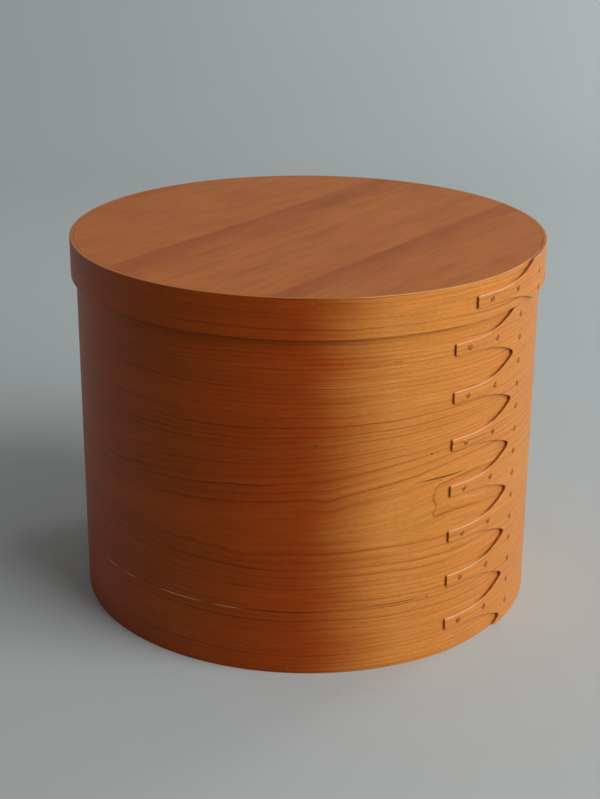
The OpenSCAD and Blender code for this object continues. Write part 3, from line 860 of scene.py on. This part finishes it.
def board_cherry(name, look, joint, fade, start):
    """Planed cherry plank, oiled: long straight growth lines, a darker tone along the glue line at
    the height joint across the grain, fading over the width fade, short flecks, and a satin skin. Reads
    Object coordinates turned along the grain, in millimetres, with a start of its own for each plank."""
    material, node = new_material(name)
    place = node("TexCoord", out="Object")
    mm = node("Mapping", {"Vector": place, "Rotation": (0, 0, -GRAIN_ANGLE), "Scale": (MM, MM, MM)})
    across = node("SeparateXYZ", (mm,), out=1)
    own = node("VectorMath", (mm, (start, 0.37 * start, 0)), "ADD")
    slow = figure(node, own, (0.007, 0.02))
    own_along, own_across, _ = node("SeparateXYZ", (own,), out=None).outputs
    level = node("Math", (slow, BOARD_SWAY, own_across), "MULTIPLY_ADD")
    grain_way = node("CombineXYZ", (own_along, level))

    # growth lines about 6 mm apart, each of its own strength
    uneven = node("TexNoise", {"W": level, "Scale": 0.05, "Detail": 1.0}, noise_dimensions="1D")
    wide = node("Math", (uneven, UNEVEN, level), "MULTIPLY_ADD")
    years = node("Math", (wide, BOARD_RING), "DIVIDE")
    year, part = (node("Math", (years,), step) for step in ("FLOOR", "FRACT"))
    strong = node("TexWhiteNoise", {"W": year}, noise_dimensions="1D")
    late = node("MapRange", (part, 0.45, 1.0), **SMOOTH)
    weight = node("MapRange", (strong, 0, 1, 0.0, 0.14))
    lines = node("Math", (late, weight), "MULTIPLY")

    # fibres 0.8 mm apart, threads 3 mm apart, streaks and clouds 13 mm wide, and flecks 2 mm long
    fibre = figure(node, grain_way, (0.04, 1.2), 4.0, 0.62)
    streak = figure(node, grain_way, (0.014, 0.08), 3.0)
    thread = figure(node, grain_way, (0.016, 0.3))
    cloud = figure(node, own, (0.035, 0.075))
    fleck = figure(node, own, (0.45, 0.6))
    from_joint = node("MapRange", (across, joint, joint - fade, 0.9, 0.0), **SMOOTH)
    patchy = node("Math", (streak, 1.5, -0.65), "MULTIPLY_ADD")
    deep = node("Math", (from_joint, patchy), "ADD", use_clamp=True)
    body = node("Mix", {0: deep, 6: look.board, 7: look.board_deep}, **COLOURS)
    ringed = node("Mix", {0: lines, 6: body, 7: look.board_line}, **COLOURS)
    fine = node("Math", (fibre, thread), "ADD")
    for layer, share in ((cloud, 0.8), (fleck, 0.7)):
        fine = node("Math", (layer, share, fine), "MULTIPLY_ADD")
    shade = node("MapRange", (fine, 1.15, 2.35, 0.82, 1.18))
    tone = node("VectorMath", {0: ringed, "Scale": shade}, "SCALE")
    rough = node("MapRange", (fibre, 0.2, 0.8, 0.48, 0.60))
    add_skin(node, tone, rough, fibre, 0.5, IOR=1.5, Specular_IOR_Level=0.35, Specular_Tint=look.gloss)
    return material


def peg_end_grain(look):
    """Split hardwood peg, cut off flush and oiled: red, with the strip's painted gold sheen on the side of the box
    that faces the key light, and a little darker in its pores, about 0.3 mm apart, because end grain drinks more
    oil"""
    material, node = new_material("oiled_peg_end_grain")
    place = node("TexCoord", out="Object")
    pores = node("TexNoise", {"Vector": place, "Scale": 3000.0, "Detail": 2.0})
    deep = node("MapRange", (pores, 0.4, 0.7, 0, 0.4))
    x, y, _ = node("SeparateXYZ", (place,), out=None).outputs
    front = node("Math", (y, -1.0), "MULTIPLY")
    # angle round the box from the front: painted gold sheen from just right of it, on the side that faces the key
    # light, red again behind
    round_box = node("Math", (x, front), "ARCTAN2")
    begun = node("MapRange", (round_box, -0.03, 0.42))
    ended = node("MapRange", (round_box, 3.3, 1.8))
    painted_sheen = node("Math", (begun, ended), "MULTIPLY")
    wood = node("Mix", {0: painted_sheen, 6: look.strip, 7: look.strip_sheen}, **COLOURS)
    body = node("Mix", {0: deep, 6: wood, 7: look.peg}, **COLOURS)
    rough = node("MapRange", (pores, 0, 1, 0.45, 0.6))
    add_skin(node, body, rough, pores, 0.4, IOR=1.5)
    return material


def hammered_copper(look):
    """Drawn copper tack, hammered home and dulled by handling: a warm metal whose dents, about 1 mm
    across, hold a brown film"""
    material, node = new_material("hammered_copper")
    place = node("TexCoord", out="Object")
    dents = node("TexNoise", {"Vector": place, "Scale": 1000.0, "Detail": 2.0})
    film = node("MapRange", (dents, 0.45, 0.7))
    body = node("Mix", {0: film, 6: look.copper, 7: look.tarnish}, **COLOURS)
    rough = node("MapRange", (dents, 0.3, 0.7, 0.48, 0.66))
    add_skin(node, body, rough, dents, 0.5, depth=0.00006, Metallic=1.0)
    return material


def seamless_paper(look):
    """Matt backdrop paper: an even pale grey with a trace of cloudiness"""
    material, node = new_material("seamless_paper")
    place = node("TexCoord", out="Object")
    cloud = node("TexNoise", {"Vector": place, "Scale": 3.0, "Detail": 3.0})
    shade = node("MapRange", (cloud, 0, 1, 0.97, 1.03))
    tone = node("VectorMath", {0: tuple(look.paper)[:3], "Scale": shade}, "SCALE")
    skin = node("BsdfPrincipled", {"Base Color": tone, "Roughness": 0.9})
    node("OutputMaterial", (skin,), out=None)
    return material


# Operators, one for each piece or group of like pieces

class PANTRY_OT_body_strip(bpy.types.Operator):
    """Makes the bent strip of the box with its lapped fingers"""
    bl_idname = "pantry.body_strip"
    bl_label = "Box strip"

    def execute(self, context):
        b, look = context.scene.pantry_bands, context.scene.pantry_finish
        notch = notch_mm(b, body_lap(b), b.finger_length)
        cherry = bent_cherry("oiled_cherry_strip", look, BOX_GRAIN, BODY_H * MM, notch)
        strip = build_body_strip(b).piece("box_strip", cherry)
        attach(strip, "box")
        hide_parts("body_band")
        return {"FINISHED"}


class PANTRY_OT_lid_strip(bpy.types.Operator):
    """Makes the bent strip of the lid with its one finger"""
    bl_idname = "pantry.lid_strip"
    bl_label = "Lid strip"

    def execute(self, context):
        b, look = context.scene.pantry_bands, context.scene.pantry_finish
        notch = notch_mm(b, lid_lap(b), b.lid_finger_length)
        cherry = bent_cherry("oiled_cherry_lid_strip", look, LID_GRAIN, TOP_Z * MM, notch)
        strip = build_lid_strip(b).piece("lid_strip", cherry)
        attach(strip, "lid")
        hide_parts("lid_band")
        return {"FINISHED"}


class PANTRY_OT_boards(bpy.types.Operator):
    """Finishes the planks of the base and the lid"""
    bl_idname = "pantry.boards"
    bl_label = "Boards"

    def execute(self, context):
        for node, (joint, fade, start) in PLANKS.items():
            cherry = board_cherry("oiled_cherry_" + node, context.scene.pantry_finish, joint, fade, start)
            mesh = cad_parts[node].data
            mesh.materials.clear()
            mesh.materials.append(cherry)
        return {"FINISHED"}


class PANTRY_OT_tacks(bpy.types.Operator):
    """Drives and clinches the copper tacks of both laps"""
    bl_idname = "pantry.tacks"
    bl_label = "Tacks"

    def execute(self, context):
        b, t = context.scene.pantry_bands, context.scene.pantry_tacks
        pitch = finger_pitch(b)
        lap = body_lap(b)
        box_seats = []
        for k in range(b.finger_count):
            z = b.foot_gap + (k + 0.5) * pitch
            box_seats += [tack_seat(b, lap, s, z) for s in (t.at_tip, t.at_root)]
            box_seats += [tack_seat(b, lap, lap.seam, z + side * pitch / 4) for side in (-1, 1)]
        lap = lid_lap(b)
        middle = (LID_Z + BODY_H) / 2
        lid_seats = [tack_seat(b, lap, s, (LID_Z + TOP_Z) / 2) for s in (t.lid_at_tip, t.lid_at_root)]
        lid_seats += [tack_seat(b, lap, lap.seam, middle + side * t.lid_seam_pitch / 2) for side in (-1, 1)]
        tree = tack_tree()
        copper = hammered_copper(context.scene.pantry_finish)
        values = {"Head": t.head, "Crown": t.crown, "Shank": t.shank, "Clinch": t.clinch,
                  "Clinch thickness": t.clinch_thick, "Dent": t.dent, "Seed": t.seed}
        box_tacks = set_fasteners("box_tacks", tree, box_seats, values, copper)
        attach(box_tacks, "box")
        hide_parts("finger_tip_tacks", "finger_root_tacks", "body_seam_tacks")
        lid_tacks = set_fasteners("lid_tacks", tree, lid_seats, values, copper)
        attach(lid_tacks, "lid")
        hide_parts("lid_finger_tacks", "lid_seam_tacks")
        return {"FINISHED"}


class PANTRY_OT_pegs(bpy.types.Operator):
    """Drives the wooden pegs that hold both boards"""
    bl_idname = "pantry.pegs"
    bl_label = "Pegs"

    def execute(self, context):
        b, p = context.scene.pantry_bands, context.scene.pantry_pegs
        tree = peg_tree()
        wood = peg_end_grain(context.scene.pantry_finish)
        values = {"Diameter": p.diameter, "Length": p.length, "Proud": p.proud, "Seed": p.seed}
        for name, lap, z, body, node in (("box_pegs", body_lap(b), BASE_PEG_Z, "box", "base_pegs"),
                                         ("lid_pegs_set", lid_lap(b), LID_PEG_Z, "lid", "lid_pegs")):
            pegs = set_fasteners(name, tree, peg_seats(b, p, lap, z), values, wood)
            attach(pegs, body)
            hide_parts(node)
        return {"FINISHED"}


class PANTRY_OT_stage(bpy.types.Operator):
    """Sets the paper sweep, the light and the camera"""
    bl_idname = "pantry.stage"
    bl_label = "Stage"

    def execute(self, context):
        scene = context.scene
        look = scene.pantry_stage
        scene.view_settings.view_transform = "Standard"

        # paper that lies on the table and curves up behind
        bend, back, front, wide, top = 0.9, 1.1, -2.0, 2.2, 5.0
        turns = np.linspace(0, math.pi / 2, 25)
        path = [(front, 0.0)] + [(back + bend * math.sin(t), bend * (1 - math.cos(t))) for t in turns]
        path.append((back + bend, top))
        points = [(x, y, z) for y, z in path for x in (-wide, wide)]
        faces = [(2 * i, 2 * i + 1, 2 * i + 3, 2 * i + 2) for i in range(len(path) - 1)]
        mesh = bpy.data.meshes.new("paper")
        mesh.from_pydata(points, [], faces)
        mesh.shade_smooth()
        mesh.materials.append(seamless_paper(look))
        paper = bpy.data.objects.new("paper", mesh)
        scene.collection.objects.link(paper)

        # even fill from all round, and a plain room where the camera or a shiny surface looks past the paper
        world = bpy.data.worlds.new("soft_room")
        scene.world = world
        world.use_nodes = True
        world.node_tree.nodes.clear()
        node = partial(add, world.node_tree)
        ray = node("LightPath", out=None).outputs
        mirrored = node("Math", (ray["Is Glossy Ray"], ray["Is Transmission Ray"]), "MAXIMUM")
        seen = node("Math", (ray["Is Camera Ray"], mirrored), "MAXIMUM")
        level = node("MapRange", (seen, 0, 1, look.fill, look.room))
        node("OutputWorld", (node("Background", (look.sky, level)),), out=None)

        # a window-like key, a lamp over the right shoulder of the backdrop, and a weak one behind on the left:
        # power, direction right of the front, height angle, distance, width, height, and where it aims
        lamps = (("window", look.key, look.key_turn, look.key_rise, look.key_distance, 2.1, 2.6, (0, 0, 0.12)),
                 ("backdrop_lamp", look.back, math.radians(92), math.radians(38), 1.5, 0.7, 0.7, (0.2, 1.1, 0.1)),
                 ("rear_lamp", look.rear, math.radians(240), math.radians(20), 1.7, 1.0, 0.8, (0, 0, 0.12)))
        for name, power, turn, rise, distance, width, tall, aim in lamps:
            lamp = bpy.data.lights.new(name, "AREA")
            lamp.shape = "RECTANGLE"
            lamp.size, lamp.size_y = width, tall
            lamp.energy = power
            holder = bpy.data.objects.new(name, lamp)
            away = np.array([math.cos(rise) * math.sin(turn), -math.cos(rise) * math.cos(turn), math.sin(rise)])
            holder.location = distance * away + np.array(aim)
            holder.rotation_euler = (math.pi / 2 - rise, 0, turn)
            holder.visible_camera = False
            scene.collection.objects.link(holder)

        data = bpy.data.cameras.new("camera")
        data.lens = look.lens
        data.sensor_width = 36.0
        data.clip_start = 0.01
        camera = bpy.data.objects.new("camera", data)
        lean = Matrix.Rotation(look.roll, 4, "Z")
        tilt = Matrix.Rotation(math.pi / 2 - look.pitch, 4, "X")
        turn = Matrix.Rotation(-look.pan, 4, "Z")
        place = Matrix.Translation((0, -look.eye_distance, look.eye_height))
        camera.matrix_world = place @ turn @ tilt @ lean
        scene.collection.objects.link(camera)
        scene.camera = camera
        return {"FINISHED"}


STEPS = ("body_strip", "lid_strip", "boards", "tacks", "pegs", "stage")


class PANTRY_PT_panel(bpy.types.Panel):
    """Sizes, finishes and steps of the pantry box"""
    bl_idname = "PANTRY_PT_panel"
    bl_label = "Pantry box"
    bl_space_type = "VIEW_3D"
    bl_region_type = "UI"
    bl_category = "Pantry box"

    def draw(self, context):
        for name, kind in GROUPS.items():
            box = self.layout.box()
            box.label(text=kind.__doc__)
            group = getattr(context.scene, name)
            for key in kind.__annotations__:
                box.prop(group, key)
        for step in STEPS:
            self.layout.operator("pantry." + step)


GROUPS = {
    "pantry_bands": BandSizes,
    "pantry_tacks": TackSizes,
    "pantry_pegs": PegSizes,
    "pantry_finish": FinishLook,
    "pantry_stage": StageLook,
}

CLASSES = (
    *GROUPS.values(),
    PANTRY_OT_body_strip,
    PANTRY_OT_lid_strip,
    PANTRY_OT_boards,
    PANTRY_OT_tacks,
    PANTRY_OT_pegs,
    PANTRY_OT_stage,
    PANTRY_PT_panel,
)


def register():
    for kind in CLASSES:
        bpy.utils.register_class(kind)
    for name, kind in GROUPS.items():
        setattr(bpy.types.Scene, name, PointerProperty(type=kind))


def unregister():
    for name in GROUPS:
        delattr(bpy.types.Scene, name)
    for kind in reversed(CLASSES):
        bpy.utils.unregister_class(kind)


def main():
    register()
    for step in STEPS:
        getattr(bpy.ops.pantry, step)()


if __name__ == "__main__":
    main()
